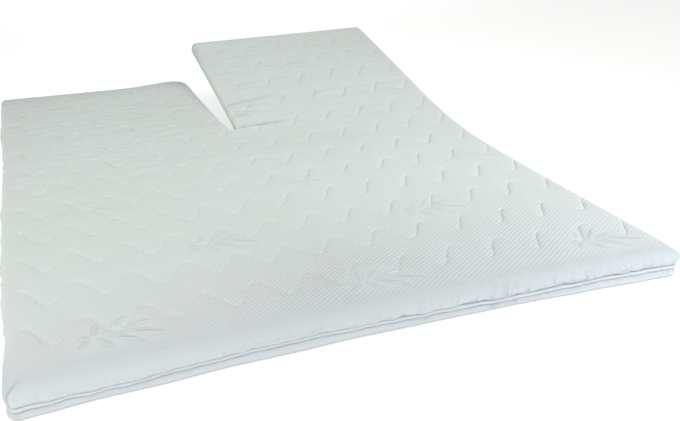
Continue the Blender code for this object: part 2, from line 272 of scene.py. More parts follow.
def creased(x, y):
    """How far the creases move the top, and how deep in a crease a place lies, to 1; the depth also
    sets painted shade.
    """
    total = fold_and_shade = 0.0
    for crease in CREASES:
        start = Vector(crease["from"])
        run = Vector(crease["to"]) - start
        here = Vector((x, y)) - start
        t = here.dot(run) / run.length_squared
        if not -CREASE_START < t < 1.0 or x < SLIT_RIGHT:
            continue
        off = run.normalized().cross(here) - crease["bow"] * 4.0 * t * (1.0 - t)
        # it widens and fades along its run, and its head side rises more gently than its foot side
        strong = crease["deep"] * (1.0 - smooth((t - 0.25) / 0.75))
        strong *= smooth((t + CREASE_START) / 0.06)
        half = crease["half"] * (0.7 + 0.8 * t)
        valley = math.exp(-(off / (half if off < 0.0 else 2.4 * half)) ** 2)
        roll = math.exp(-((off + 2.6 * half) / (2.0 * half)) ** 2)
        total += strong * (0.75 * roll - valley)
        fold_and_shade = max(fold_and_shade, strong / CREASES[0]["deep"] * math.exp(-(off / half) ** 2))
    return total, fold_and_shade


def tucked(x, y):
    """How deep a place of the square plan lies in the corner's tuck, to 1: its lips are under 0."""
    right, up = x - LEFT, y - FOOT
    off = (right - up) / (TUCK_HALF + 0.1 * max(right, up))
    near = smooth(1.0 - max(right, up) / TUCK_REACH)
    return near * (1.3 * math.exp(-off * off) - 0.3 * math.exp(-(off / 2.5) ** 2))


def fanned(x, y):
    """The cloth's own pull fans out from the middle of the foot, and the runs across it are deep."""
    steep = math.sin(2.0 * math.pi * (x - WAVE_CREST_X) / WAVE_LENGTH)
    steep *= 1.0 - 0.75 * smooth((y - 0.15) / 0.60)
    return 1.0 - FANNED * steep * min(max((x + 0.05) / 0.35, -1.0), 1.0)


def seam_pull(x, y, line):
    """How strongly the nearest sewn line holds the cloth down: less near an edge or in a crease."""
    pull = fanned(x, y) * smooth(min(to_edge(x, y), to_slit(x, y)) / FADE)
    pull *= (1.0 + 0.35 * smooth(y / 0.5)) * (1.0 - 0.95 * math.sqrt(creased(x, y)[1]))
    return pull * 0.5 * smooth((y - FOOT - FOOT_LINE_START) / 0.014) if line < 0 else pull


def top_height(x, y, base):
    """Height of the top panel, before it is bent: `base` is where the place's row starts."""
    inset = min(to_edge(x, y), to_slit(x, y))
    line = nearest_line(x, y, base)
    off = abs(off_line(x, y, line))
    fade = seam_pull(x, y, line)
    spot = Vector((x * SEAM_UNEVEN["per_metre"], line * SEAM_UNEVEN["seed"], 0.0))
    pull = SEAM_DEEP * (1.0 + SEAM_UNEVEN["share"] * noise.noise(spot))
    height = rolled(inset) - fade * pull * math.exp(-off / SEAM_REACH)
    puff = PUFF * (0.5 + 0.5 * fanned(x, y))
    height += smooth(inset / FADE) * puff * ((1.0 - math.exp(-off / PUFF_REACH)) - 0.55)
    for lump in LUMPS:
        spot = Vector((x * lump["per_metre"], y * lump["per_metre"], lump["seed"]))
        height += lump["high"] * noise.noise(spot) * smooth(inset / lump["calm"])
    height += creased(x, y)[0] * smooth(to_slit(x, y) / 0.012) - 0.6 * TUCK_DEEP * tucked(x, y)
    if x < SLIT_X:
        away = math.hypot(x - SLIT_LEFT, y - HEAD)
        height -= CORNER_DROOP * smooth(1.0 - away / DROOP_REACH)
        height -= CORNER_DROOP * smooth(1.0 - away / (0.6 * DROOP_REACH))
    return height


def painted_shade_at(x, y):
    """How much painted shade darkens the cloth at a place."""
    head, flat, corner, bent = PAINTED_SHADE_PLACES.values()
    edge_shade = head["strong"] * smooth((y - HEAD + head["reach"]) / head["reach"])
    if x < SLIT_X:
        edge_shade += flat["strong"] * smooth((y - HEAD + flat["reach"]) / flat["reach"])
        away = math.hypot(x - SLIT_LEFT, y - HEAD)
        return edge_shade + corner["strong"] * smooth(1.0 - away / corner["reach"])
    share = smooth((y - HEAD + bent["along"]) / bent["along"])
    return edge_shade + bent["strong"] * smooth(1.0 - (x - SLIT_RIGHT) / bent["reach"]) * share


def humped(y, hump, size):
    """A hump of the named size at its own place along a side."""
    return hump[size] * math.exp(-((y - hump["at"]) / hump["half"]) ** 2)


def sides_moved(x, y):
    """How far a place moves along X, because the long sides of the cover aren't straight."""
    spot = Vector((0.0, y * LEFT_WAVER["per_metre"], LEFT_WAVER["seed"]))
    left = LEFT_WAVER["deep"] * noise.noise(spot)
    left -= LEFT_OUT["out"] * smooth((y - FOOT) / LEFT_OUT["reach"])
    for hollow in LEFT_HOLLOWS:
        left += humped(y, hollow, "deep")
    right = RIGHT_OUT["out"] * smooth((y - FOOT) / RIGHT_OUT["reach"])
    right += humped(y, RIGHT_SWELL, "out")
    near_left = smooth(1.0 - (x - LEFT) / SIDE_REACH)
    return left * near_left + right * smooth(1.0 - (RIGHT - x) / SIDE_REACH)


def rounded(x, y):
    """Move a point of the square plan so that the plan's corners are round."""
    corners = (
        (LEFT, 1, FOOT, 1, CORNER_RADIUS),
        (RIGHT, -1, FOOT, 1, CORNER_RADIUS),
        (LEFT, 1, HEAD, -1, CORNER_RADIUS),
        (RIGHT, -1, HEAD, -1, CORNER_RADIUS),
        (SLIT_LEFT, -1, HEAD, -1, SLIT_CORNER_RADIUS),
        (SLIT_RIGHT, 1, HEAD, -1, SLIT_CORNER_RADIUS),
    )
    for side, inward_x, end, inward_y, radius in corners:
        a = 1.0 - (x - side) * inward_x / radius
        b = 1.0 - (y - end) * inward_y / radius
        if 0.0 < a <= 1.0 and 0.0 < b <= 1.0:
            x = side + inward_x * radius * (1.0 - a * math.sqrt(1.0 - b * b / 2.0))
            y = end + inward_y * radius * (1.0 - b * math.sqrt(1.0 - a * a / 2.0))
            break
    return x, y


def bend(across, y):
    """Place along Y, lift and slope of the bent half's top, `across` from 0 at the slit to 1."""
    start = mix(BEND["inner"]["start"], BEND["outer"]["start"], across)
    length = mix(BEND["inner"]["length"], BEND["outer"]["length"], across)
    slope = mix(BEND["inner"]["slope"], BEND["outer"]["slope"], across)
    if y <= start:
        return y, 0.0, 0.0
    step = (y - start) / BEND_STEPS
    along = start
    lift = 0.0
    for i in range(BEND_STEPS):
        angle = slope * smooth((i + 0.5) * step / length)
        along += step * math.cos(angle)
        lift += step * math.sin(angle)
    return along, lift, slope * smooth((y - start) / length)


def lie(x, y, height):
    """Where a point of the sewn cover lies."""
    bow_foot = FOOT_BOW * (1.0 - (x / RIGHT) ** 2) * smooth(1.0 - (y - FOOT) / BOW_REACH)
    middle = (LEFT + SLIT_LEFT) / 2 if x < SLIT_X else (RIGHT + SLIT_RIGHT) / 2
    half = (SLIT_LEFT - LEFT) / 2
    near_head = smooth(1.0 - (HEAD - y) / BOW_REACH)
    bow_head = HEAD_BOW * (1.0 - ((x - middle) / half) ** 2) * near_head
    if x >= SLIT_RIGHT:
        across = (x - SLIT_RIGHT) / (RIGHT - SLIT_RIGHT)
        along, lift, slope = bend(across, y)
        x += across * FLARE * smooth((y - FLARE_START) / (HEAD - FLARE_START))
    else:
        near = smooth(1.0 - (SLIT_LEFT - x) / LIFT_REACH)
        along, lift, slope = bend(0.0, min(y, SLIT_END))
        on = 1.0 - smooth((y - SLIT_END) / LIFT_FADE)
        along = y + (along - min(y, SLIT_END)) * near * on
        lift *= near * on
        slope *= near * on
        x -= SLIT_SPLAY * near * max(y - SLIT_END, 0.0) / SLIT_LENGTH
        to_corner = smooth(1.0 - math.hypot(SLIT_LEFT - x, HEAD - y) / CORNER_REACH)
        along += CORNER_PULL * to_corner
        lift += CORNER_CROWN * to_corner * height / THICKNESS
    below = THICKNESS - height
    return Vector((x,
                   along + bow_foot - bow_head + below * math.sin(slope),
                   THICKNESS + lift - below * math.cos(slope))) - MIDDLE


def strip_top(x, y):
    """Height of the zip strip's top, which wanders up and down along the side."""
    run = x + WANDER_SHIFT - WANDER_SKEW * (y - FOOT)
    return STRIP_TOP + STRIP_WANDER * math.cos(2.0 * math.pi * run / WANDER_LENGTH)


def outerness(x, y):
    """1 on the outer sides, 0 on the slit's walls, and in between as the side turns the corner."""
    if y < SLIT_END - STRIP_END:
        return 1.0
    return smooth((abs(x - SLIT_X) - SLIT_WIDTH / 2 - STRIP_END + WALL_TURN) / WALL_TURN)


def filled(places):
    """Add rows evenly wherever two neighbours lie too far apart."""
    spread = [places[0]]
    for place in places[1:]:
        creases_near = any(abs(place - crease["from"][1]) < CREASE_NEAR for crease in CREASES)
        gap = CREASE_ROW_GAP if creases_near else ROW_GAP
        pieces = max(1, math.ceil((place - spread[-1]) / gap - 0.001))
        start = spread[-1]
        spread += [start + (place - start) * n / pieces for n in range(1, pieces + 1)]
    return spread


# columns run along the topper and rows across it, each row in the sewn lines' waves
columns = [SLIT_LEFT + SLIT_WIDTH * n / 4 for n in (1, 2, 3)]
for side, way in ((LEFT, 1), (RIGHT, -1), (SLIT_LEFT, -1), (SLIT_RIGHT, 1)):
    columns += [side + way * step for step in ROLL_STEPS]
spacing = WAVE_LENGTH / COLUMNS_PER_WAVE
first = math.ceil((LEFT - WAVE_CREST_X) / spacing)
last = math.floor((RIGHT - WAVE_CREST_X) / spacing)
for n in range(first, last):
    x = WAVE_CREST_X + n * spacing
    if min(x - LEFT, RIGHT - x, abs(x - SLIT_X) - SLIT_WIDTH / 2) > ROLL_IN:
        columns.append(x)
columns.sort()

slit_row = SLIT_END - wave(SLIT_X, SLIT_END)
rows = [FOOT + step for step in ROLL_STEPS] + [HEAD - step for step in ROLL_STEPS]
rows += [slit_row - step for step in ROLL_STEPS[:5]]
rows += [FOOT + FIRST_LINE + line * LINE_PITCH for line in range(LINE_COUNT)]
for line in range(LINE_COUNT):
    for step in SEAM_STEPS:
        for way in (-1, 1):
            row = FOOT + FIRST_LINE + line * LINE_PITCH + way * step
            clear = min(abs(row - other) for other in rows)
            if clear > ROWS_CLEAR and min(row - FOOT, HEAD - row) > ROLL_IN:
                rows.append(row)
rows = filled(sorted(rows))
end_row = min(range(len(rows)), key=lambda j: abs(rows[j] - slit_row))

along_line = [0.0]                           # length of a sewn line up to each column
for before, x in zip(columns, columns[1:]):
    step = math.hypot(x - before, WAVE_HEIGHT * (swing(x) - swing(before)))
    along_line.append(along_line[-1] + step)

bm = bmesh.new()
bmesh.ops.create_grid(bm, x_segments=len(columns) - 1, y_segments=len(rows) - 1, size=1.0)

# what the cloth's material reads at each vertex: the ribbed top, the sewn lines' hold, a painted
# contact shadow at the band's foot, painted shade in the creases, the tuck and at the head and slit
# edges, and the zip seam's puckers; and what only the mesh needs
CLOTH_LAYERS = ("inner", "held", "contact_shadow", "fold_and_shade", "pinch")
inner_of, held_of, contact_shadow_of, painted_shade_of, pinch_of = [
    bm.verts.layers.float.new(name) for name in CLOTH_LAYERS]
base_of, along_of, tuck_of, drop_of = [
    bm.verts.layers.float.new(name) for name in ("base", "along", "tuck", "drop")]
step_of = bm.verts.layers.int.new("step")
sewn = bm.loops.layers.uv.new("sewn")
quilting = bm.loops.layers.uv.new("quilting")

# the top panel, with the slit cut out of it
cut = []
for vert in bm.verts:
    i = round((vert.co.x + 1.0) / 2.0 * (len(columns) - 1))
    j = round((vert.co.y + 1.0) / 2.0 * (len(rows) - 1))
    x = columns[i]
    y = rows[j] + wave(x, rows[j])
    across = (x - SLIT_X) / (SLIT_WIDTH / 2)
    if abs(across) < 1.001 and j == end_row:
        y = SLIT_END - SLIT_END_ROUND * (1.0 - across * across)
    if abs(across) < 0.999 and j > end_row:
        cut.append(vert)
    height = top_height(x, y, rows[j])
    if abs(across) < 1.001 and j >= end_row:
        height = rolled(0.0)
    vert[base_of] = rows[j]
    vert[along_of] = along_line[i]
    aside = min(x - LEFT, RIGHT - x, HEAD - y, to_slit(x, y))
    vert[inner_of] = (
        smooth((y - FOOT - RIBS_FROM_FOOT["start"]) / RIBS_FROM_FOOT["ramp"])
        * smooth((aside - RIBS_FROM_SIDE["start"]) / RIBS_FROM_SIDE["ramp"]))
    vert[held_of] = seam_pull(x, y, nearest_line(x, y, rows[j]))
    vert[tuck_of] = tucked(x, y)
    # painted shade: the cloth is darkened in the creases, in the corner's tuck, and at the head edges
    # and by the slit's corners
    vert[painted_shade_of] = max(creased(x, y)[1], painted_shade_at(x, y), vert[tuck_of])
    pinched = TOP_PINCH["strong"] * smooth(1.0 - to_edge(x, y) / TOP_PINCH["reach"])
    vert[pinch_of] = pinched * outerness(x, y)
    x, y = rounded(x, y)
    vert.co = (x + sides_moved(x, y), y, height)
bmesh.ops.delete(bm, geom=cut, context="VERTS")
for face in bm.faces:
    middle = face.calc_center_median()
    base = sum(vert[base_of] for vert in face.verts) / len(face.verts)
    line = nearest_line(middle.x, middle.y, base)
    for loop in face.loops:
        x, y, _ = loop.vert.co
        loop[sewn].uv = (x, y)
        loop[quilting].uv = (loop.vert[along_of], off_line(x, y, line))

# each point of the top's edge, in order, with the way inwards and its place along the edge
corner = min((vert for vert in bm.verts if vert.is_boundary),
             key=lambda vert: vert.co.x + vert.co.y)
order = [corner]
came = min((edge for edge in corner.link_edges if edge.is_boundary),
           key=lambda edge: edge.other_vert(corner).co.x)
while True:
    came = next(edge for edge in order[-1].link_edges if edge.is_boundary and edge is not came)
    here = came.other_vert(order[-1])
    if here is corner:
        break
    order.append(here)


def uneven(spot, what):
    """How far the side is off its even line at a spot of the plan."""
    total = 0.0
    for part in UNEVEN[what]:
        place = Vector((spot.x * part["per_metre"], spot.y * part["per_metre"], part["seed"]))
        total += part["high"] * noise.noise(place)
    return total


edge_points = []
run = 0.0
for k, vert in enumerate(order):
    vert[step_of] = k
    before = (vert.co - order[k - 1].co).xy
    after = (order[(k + 1) % len(order)].co - vert.co).xy
    along = (before.normalized() + after.normalized()).normalized()
    stretch = 1.0 / max(along.dot(after.normalized()), 0.5)
    run += before.length if k else 0.0
    spot = vert.co.xy
    from_corner = min(math.hypot(spot.x - side, spot.y - end)
                      for side in (LEFT, RIGHT) for end in (FOOT, HEAD))
    free = smooth(from_corner / CORNER_CALM)
    edge_points.append({
        "spot": spot,
        "inward": Vector((-along.y, along.x)) * stretch,
        "run": run,
        "outer": outerness(vert.co.x, vert.co.y),
        "rise": uneven(spot, "rise"),
        "gape": max(0.0, GAPE_RIGHT * smooth(spot.x / 0.5) + uneven(spot, "gape")),
        "bulge": free * (uneven(spot, "bulge") + BULGE_LEFT * smooth(0.6 - spot.x / 0.6))
                 - CORNER_TIGHT * (1.0 - free),
        "sag": uneven(spot, "sag"),
        "edge_shade": vert[painted_shade_of],
        "tuck": vert[tuck_of],
    })
# the tuck draws in the top alone, and not the strip and the band under it
for vert, point in zip(order, edge_points):
    vert.co.xy += point["inward"] * (0.5 * TUCK_DEEP * point["tuck"])

# the sides, ring by ring, each extruded from the one above and moved to its own place
edges = [edge for edge in bm.edges if edge.is_boundary]
drop = 0.0
above = {"height": rolled(0.0), "outer": 0.0}
for ring in SIDE:
    over_strip = ring["height"] if ring["over"] == "strip" else 0.0
    height = ring["height"] + (STRIP_TOP if ring["over"] == "strip" else 0.0)
    drop += math.hypot(height - above["height"], ring["outer"] - above["outer"])
    above = {"height": height, "outer": ring["outer"]}
    made = bmesh.ops.extrude_edge_only(bm, edges=edges)["geom"]
    edges = [part for part in made if isinstance(part, bmesh.types.BMEdge) and part.is_boundary]
    for vert in (part for part in made if isinstance(part, bmesh.types.BMVert)):
        point = edge_points[vert[step_of]]
        spot, outer = point["spot"], point["outer"]
        inset = mix(ring["slit"], ring["outer"], outer)
        height = ring["height"]
        if ring["over"] == "strip":
            wavering = smooth((0.020 - height) / 0.012)
            if height > 0.0:
                inset -= outer * point["bulge"] * wavering * (ring["outer"] < GROOVE_BACK)
                height += outer * point["gape"] * wavering
                inset += TUCK_DEEP * point["tuck"] * smooth(ring["height"] / 0.005)
            else:
                inset += outer * point["sag"] * (ring["outer"] < GROOVE_BACK)
            height += strip_top(*spot) + outer * point["rise"] * wavering
        else:
            inset += outer * point["sag"]
        plan = spot + point["inward"] * inset
        vert.co = (plan.x, plan.y, height)
        vert[inner_of] = 0.0
        vert[held_of] = 0.0
        vert[tuck_of] = point["tuck"] * smooth(over_strip / 0.004)
        # painted shade: the top edge's shade fades down the roll towards the strip, and the tuck's
        # reaches down to it
        vert[painted_shade_of] = max(point["edge_shade"] * smooth(over_strip / SHADE_DOWN), vert[tuck_of])
        vert[pinch_of] = ring["pinch"] * outer
        # painted contact shadow: the band's foot is darkened just above the surface it lies on
        in_contact_shadow = ring["over"] == "surface" and ring["outer"] < UNDER_TURN
        vert[contact_shadow_of] = 0.8 * smooth((CONTACT_SHADOW_TALL - height) / CONTACT_SHADOW_TALL) if in_contact_shadow else 0.0
        vert[drop_of] = drop
    for face in (part for part in made if isinstance(part, bmesh.types.BMFace)):
        for loop in face.loops:
            point = edge_points[loop.vert[step_of]]
            loop[sewn].uv = point["spot"] - point["inward"] * loop.vert[drop_of]
            loop[quilting].uv = (point["run"], 1.0)


def underside():
    """The faces of the underside, which is one flat panel."""
    return [face for face in bm.faces if max(vert.co.z for vert in face.verts) < 1e-6]


# it is cut across every 5 cm and along every 20 cm, so that it can follow the bend
bmesh.ops.holes_fill(bm, edges=edges, sides=0)
cuts = [((0.0, FOOT + 0.05 * n, 0.0), (0.0, 1.0, 0.0)) for n in range(1, 40)]
cuts += [((LEFT + 0.20 * n, 0.0, 0.0), (1.0, 0.0, 0.0)) for n in range(1, 9)]
for place, facing in cuts:
    panel = underside()
    parts = dict.fromkeys(panel)
    parts.update(dict.fromkeys(edge for face in panel for edge in face.edges))
    parts.update(dict.fromkeys(vert for face in panel for vert in face.verts))
    bmesh.ops.bisect_plane(bm, geom=list(parts), dist=1e-5, plane_co=place, plane_no=facing)
bmesh.ops.triangulate(bm, faces=underside())
for face in underside():
    for loop in face.loops:
        loop[sewn].uv = loop.vert.co.xy
        loop[quilting].uv = (loop.vert.co.x, 1.0)


def finished(name, bm):
    """Turn a finished bmesh into a piece in the scene."""
    mesh = bpy.data.meshes.new(name)
    bm.to_mesh(mesh)
    bm.free()
    mesh.shade_smooth()
    piece = bpy.data.objects.new(name, mesh)
    bpy.context.scene.collection.objects.link(piece)
    return piece


def laid_down(name, bm):
    """Move a piece from its place as sewn to where it lies, and finish it."""
    for vert in bm.verts:
        vert.co = lie(*vert.co)
    bmesh.ops.recalc_face_normals(bm, faces=bm.faces[:])
    return finished(name, bm)


cover = laid_down("quilted_cover", bm)


# ---- Quilted cover: its cloth ----------------------------------------------------------------
# Polyester jersey, knitted with fine slanting ribs and a woven-in pattern of leaf sprigs, and
# quilted with a white thread. It is matt and a little fuzzy, and it puckers beside each seam.

RIB_PITCH = 0.0100                           # as broad as the photograph's
RIB_TURN = math.radians(34.0)
RIB_WOBBLE = 5.0                             # how far the ribs waver, in radians of their pitch
SPRIG_ACROSS = 0.617                         # from one sprig to the next in its row
SPRIG_ROW = 0.316                            # from row to row; every other row is half a step over
SPRIG_START = Vector((0.038, -0.882))
STALK_BOW = 1.8                              # times the square of the way along the stalk
STALK_FOOT = -0.050
LEAVES = (
    {"at": -0.046, "turn": 78, "long": 0.028, "wide": 0.0080},
    {"at": -0.040, "turn": -60, "long": 0.034, "wide": 0.0085},
    {"at": -0.030, "turn": 42, "long": 0.042, "wide": 0.0085},
    {"at": -0.020, "turn": -32, "long": 0.047, "wide": 0.0090},
    {"at": -0.010, "turn": 19, "long": 0.049, "wide": 0.0090},
    {"at": -0.002, "turn": -7, "long": 0.053, "wide": 0.0095},
    {"at": -0.052, "turn": 148, "long": 0.014, "wide": 0.0085},
    {"at": -0.050, "turn": 214, "long": 0.017, "wide": 0.0085},
)
LEAF_RIM = 0.17                              # of a leaf's height
LEAF_RIBS = 54.0                             # in a full turn about the stalk's foot
LEAF_RIBS_FULL = 0.085                       # from the stalk's foot, where they have their depth
GROUND = (0.12, 0.08)                        # the plainer ground round a sprig, along and across
STITCH = 0.0075                              # drawn coarser than the real 4 mm, so that it shows
THREAD_HALF = 0.0013                         # drawn coarser than the real 0.2 mm, too
SUNK_REACH = 0.0025                          # of the shade in a sewn line
FLAT_REACH = 0.012                           # a sewn line flattens what is woven in this close to it
PUCKER_REACH = 0.014
PUCKERS_PER_METRE = (48.0, 14.0)             # along a sewn line and away from it
ZIP_PUCKERS_PER_METRE = (46.0, 30.0)         # along the zip and away from it
ZIP_PUCKER_TURN = 0.7
RUFFLES_PER_METRE = (7.0, 30.0)
DIMPLES_PER_METRE = 26.0
KNIT = 0.0032                                # drawn coarser than the real 1.2 mm, so that it shows


def linear(hex_colour):
    """An sRGB hex colour as the linear colour that a shader takes."""
    parts = [int(hex_colour[n:n + 2], 16) / 255.0 for n in (0, 2, 4)]
    return [c / 12.92 if c <= 0.04045 else ((c + 0.055) / 1.055) ** 2.4 for c in parts] + [1.0]


def start_material(name, finish):
    """A new material, its nodes and its shader, with the shader's even values set."""
    material = bpy.data.materials.new(name)
    material.use_nodes = True
    shader = material.node_tree.nodes["Principled BSDF"]
    for socket, value in finish.items():
        shader.inputs[socket].default_value = value
    return material, material.node_tree, shader


def add(kind, *values, out=0, **settings):
    """Add a node to the material in hand, and give back one of its outputs.

    A kind in capitals is an operation of the Math node. The values are numbers or other nodes'
    outputs, in the order of the sockets or, in one dict, by their names or places.
    """
    node = tree.nodes.new("ShaderNode" + ("Math" if kind.isupper() else kind))
    if kind.isupper():
        node.operation = kind
    for name, value in settings.items():
        setattr(node, name, value)
    inputs = values[0] if values and isinstance(values[0], dict) else dict(enumerate(values))
    for socket, value in inputs.items():
        if isinstance(value, bpy.types.NodeSocket):
            tree.links.new(value, node.inputs[socket])
        else:
            node.inputs[socket].default_value = value
    return node.outputs[out]


jersey, tree, shader = start_material("quilted jersey", {
    "Roughness": 0.88, "Specular IOR Level": 0.30, "Sheen Weight": 0.15, "Sheen Roughness": 0.55})
plan = add("UVMap", uv_map="sewn")
across, length, _ = add("SeparateXYZ", plan).node.outputs
inner, held, contact_shadow, fold_and_shade, pinch = [
    add("Attribute", out="Fac", attribute_name=name) for name in CLOTH_LAYERS]
rolled_over = add("SUBTRACT", 1.0, inner)

# a sprig: slim leaves on both sides of a bowed stalk, and two buds behind its foot
row = add("MULTIPLY_ADD", length, 1.0 / SPRIG_ROW, 0.5 - SPRIG_START.y / SPRIG_ROW)
step = add("MULTIPLY_ADD", across, 1.0 / SPRIG_ACROSS, 0.5 - SPRIG_START.x / SPRIG_ACROSS)
step = add("MULTIPLY_ADD", add("FLOORED_MODULO", add("FLOOR", row), 2.0), 0.5, step)
sprig_x = add("MULTIPLY_ADD", add("FRACT", step), SPRIG_ACROSS, -SPRIG_ACROSS / 2)
sprig_y = add("MULTIPLY_ADD", add("FRACT", row), SPRIG_ROW, -SPRIG_ROW / 2)
sprig_y = add("MULTIPLY_ADD", add("POWER", sprig_x, 2.0), STALK_BOW, sprig_y)
sprig = add("CombineXYZ", sprig_x, sprig_y)
leaves = 0.0
for leaf in LEAVES:
    turn = math.radians(leaf["turn"])
    outward = Vector((math.cos(turn), math.sin(turn)))
    middle = Vector((leaf["at"], 0.0)) + 1.05 * leaf["long"] * outward
    shape = add("Mapping", {
        "Vector": sprig, "Location": (middle.x, middle.y, 0.0), "Rotation": (0.0, 0.0, turn),
        "Scale": (leaf["long"], leaf["wide"], 1.0),
    }, vector_type="TEXTURE")
    dome = add("TexGradient", shape, out="Fac", gradient_type="SPHERICAL")
    leaves = add("MAXIMUM", leaves, dome)
leaf_mask = add("MULTIPLY", add("MULTIPLY", leaves, 3.0, use_clamp=True), inner)
from_rim = add("ABSOLUTE", add("SUBTRACT", leaves, LEAF_RIM))
rim = add("MULTIPLY_ADD", from_rim, -1.0 / LEAF_RIM, 1.0, use_clamp=True)
rim = add("MULTIPLY", rim, inner)
puffed = add("MULTIPLY", leaves, inner)

# the leaves' own flat ribs, which fan out from the foot of the stalk
ahead = add("SUBTRACT", sprig_x, STALK_FOOT)
far = add("SQRT", add("ADD", add("POWER", ahead, 2.0), add("POWER", sprig_y, 2.0)))
leaf_ribs = add("SINE", add("MULTIPLY", add("ARCTAN2", sprig_y, ahead), LEAF_RIBS))
leaf_ribs = add("MULTIPLY", leaf_ribs, leaf_mask)
leaf_ribs = add("MULTIPLY", leaf_ribs, add("MULTIPLY", far, 1.0 / LEAF_RIBS_FULL))

# slanting ribs, which leave the leaves out and are low on the ground round a sprig
wobble = add("TexNoise", {"Vector": plan, "Scale": 7.0, "Detail": 2.0}, out="Fac")
slant = add("Mapping", {"Vector": plan, "Rotation": (0.0, 0.0, -RIB_TURN)})
phase = add("MULTIPLY_ADD", add("SeparateXYZ", slant, out="Y"), 2.0 * math.pi / RIB_PITCH,
            add("MULTIPLY", wobble, RIB_WOBBLE))
ground = add("Mapping", {"Vector": sprig, "Scale": (1.0 / GROUND[0], 1.0 / GROUND[1], 1.0)})
ground = add("TexGradient", ground, out="Fac", gradient_type="SPHERICAL")
ground = add("MULTIPLY", ground, 2.0, use_clamp=True)
plain = add("MULTIPLY_ADD", ground, -0.60, 1.0)
plain = add("MULTIPLY", plain, add("SUBTRACT", 1.0, leaf_mask))

# the ribs stand out where the cover is drawn tight: along the foot, more to the right and in the
# middle, and less again at the right-hand side
tight = add("MULTIPLY_ADD", length, -3.0, add("MULTIPLY_ADD", across, 0.6, -1.35))
tight = add("MAXIMUM", add("MINIMUM", tight, 1.10), 0.12)
off_right = add("MAXIMUM", add("MULTIPLY_ADD", across, -1.95, 1.98, use_clamp=True), 0.4)
tight = add("MULTIPLY", tight, off_right)
in_middle = add("ABSOLUTE", add("ADD", across, 0.04))
in_middle = add("MULTIPLY_ADD", in_middle, -2.6, 0.8, use_clamp=True)
tight = add("MULTIPLY", tight, add("ADD", in_middle, 1.0))
ribs = add("MULTIPLY", add("MULTIPLY", add("SINE", phase), inner), add("MULTIPLY", plain, tight))

# beside a sewn line: the stitches, and puckers that run square to it
along, off_seam, _ = add("SeparateXYZ", add("UVMap", uv_map="quilting")).node.outputs
off = add("ABSOLUTE", off_seam)
close, sunk, beside = [add("EXPONENT", add("MULTIPLY", off, -1.0 / reach))
                       for reach in (PUCKER_REACH, SUNK_REACH, FLAT_REACH)]
sunk = add("MULTIPLY", sunk, held)
pucker_x, pucker_y = [
    add("MULTIPLY", way, many) for way, many in zip((along, off_seam), PUCKERS_PER_METRE)]
puckers = add("TexNoise", {
    "Vector": add("CombineXYZ", pucker_x, pucker_y), "Scale": 1.0, "Detail": 1.0}, out="Fac")
puckers = add("MULTIPLY", add("SUBTRACT", puckers, 0.5), add("MULTIPLY", close, held))
dash = add("SINE", add("MULTIPLY", along, 2.0 * math.pi / STITCH))
dash = add("MULTIPLY_ADD", dash, 0.45, 0.95, use_clamp=True)
thread = add("POWER", add("DIVIDE", off, THREAD_HALF), 2.0)
thread = add("MULTIPLY_ADD", thread, -1.0, 1.0, use_clamp=True)
stitches = add("MULTIPLY", add("MULTIPLY", dash, thread), held)

# puckers along the zip's seam, square to it: along the foot, and along the other sides
at_foot = add("MULTIPLY_ADD", length, -20.0, -17.0, use_clamp=True)
gathered = []
for many in (ZIP_PUCKERS_PER_METRE, ZIP_PUCKERS_PER_METRE[::-1]):
    spread = add("Mapping", {
        "Vector": plan, "Scale": (*many, 1.0), "Rotation": (0.0, 0.0, ZIP_PUCKER_TURN)})
    spread = add("TexNoise", {"Vector": spread, "Scale": 1.0, "Detail": 1.0}, out="Fac")
    gathered.append(spread)
zip_puckers = add("Mix", {"Factor": at_foot, 2: gathered[1], 3: gathered[0]})
zip_puckers = add("MULTIPLY", add("SUBTRACT", zip_puckers, 0.5), pinch)
more_right = add("MULTIPLY_ADD", across, 0.55, 0.75, use_clamp=True)
zip_puckers = add("MULTIPLY", zip_puckers, more_right)

# soft ruffles across the cover, most of them in the head half, where the cloth is slack
slack = add("MULTIPLY_ADD", length, 1.0, 0.50, use_clamp=True)
slack = add("MULTIPLY", slack, add("MULTIPLY_ADD", across, -0.50, 1.0))
ruffles = add("Mapping", {"Vector": plan, "Scale": (*RUFFLES_PER_METRE, 1.0)})
ruffles = add("TexNoise", {"Vector": ruffles, "Scale": 1.0, "Detail": 2.0}, out="Fac")
ruffles = add("MULTIPLY", add("SUBTRACT", ruffles, 0.5), add("MULTIPLY", slack, inner))

# soft dimples in the smooth cloth of the rolls and sides
dimples = add("TexNoise", {"Vector": plan, "Scale": DIMPLES_PER_METRE, "Detail": 1.5}, out="Fac")
dimples = add("MULTIPLY", dimples, rolled_over)

# the knit's own loops
loops = add("MULTIPLY",
            add("SINE", add("MULTIPLY", across, 2.0 * math.pi / KNIT)),
            add("SINE", add("MULTIPLY", length, 2.0 * math.pi / (KNIT * 0.8))))

# the relief, in metres: what is woven in flattens beside a sewn line and towards the head end
woven_in = 0.0
for part, deep in ((leaf_ribs, 0.00080), (rim, 0.00060), (puffed, 0.00340)):
    woven_in = add("MULTIPLY_ADD", part, deep, woven_in)
woven_in = add("MULTIPLY", woven_in, add("MULTIPLY_ADD", beside, -1.1, 1.0, use_clamp=True))
to_foot = add("MULTIPLY_ADD", length, -0.8, 0.36, use_clamp=True)
relief = add("MULTIPLY", woven_in, add("MAXIMUM", to_foot, 0.5))
for part, deep in (
    (ribs, 0.00055),
    (puckers, 0.0018),
    (ruffles, 0.0115),
    (zip_puckers, 0.0240),
    (dimples, 0.0050),
    (stitches, 0.00004),
    (loops, 0.00007),
):
    relief = add("MULTIPLY_ADD", part, deep, relief)
bump = add("Bump", {"Height": relief, "Strength": 1.0, "Distance": 1.0})
tree.links.new(bump, shader.inputs["Normal"])

# the shade that the ribs, the leaves and the sunk seams draw on the cloth
shade = 0.12
for part, strong in ((ribs, 0.10), (leaf_ribs, 0.18), (rim, 0.14)):
    shade = add("MULTIPLY_ADD", part, strong, shade)
shade = add("MULTIPLY_ADD", sunk, 0.02, shade, use_clamp=True)

